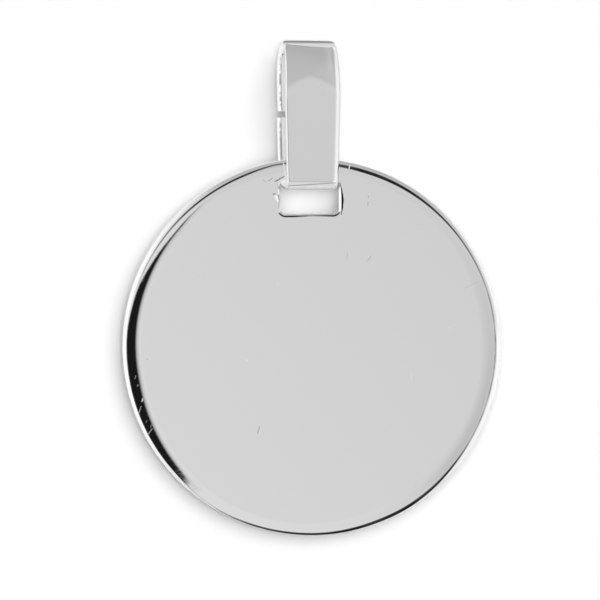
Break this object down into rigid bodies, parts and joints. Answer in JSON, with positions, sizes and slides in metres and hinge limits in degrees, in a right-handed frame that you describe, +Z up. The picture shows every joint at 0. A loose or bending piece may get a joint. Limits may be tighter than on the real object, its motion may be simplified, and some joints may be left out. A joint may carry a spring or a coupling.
{
  "type": "disc pendant",
  "caption": "Plain round metal disc pendant with a slot near its rim, on a narrow bail folded from flat strip that is open at a seam behind; lying face up.",
  "frame": {"origin": "on the floor, under the middle of the box of the lying pendant", "axes": "+Y along the pendant from the disc to the bail, +Z up from the floor through the face, +X to the right of the face with the bail away from the viewer"},
  "size_m": [0.02, 0.0262, 0.0032],
  "materials": {
    "disc_silver": "polished silver with fine wear scratches",
    "bail_silver": "polished silver"
  },
  "bodies": {
    "root": {"disc": "disc_silver", "bail": "bail_silver"}
  },
  "joints": []
}
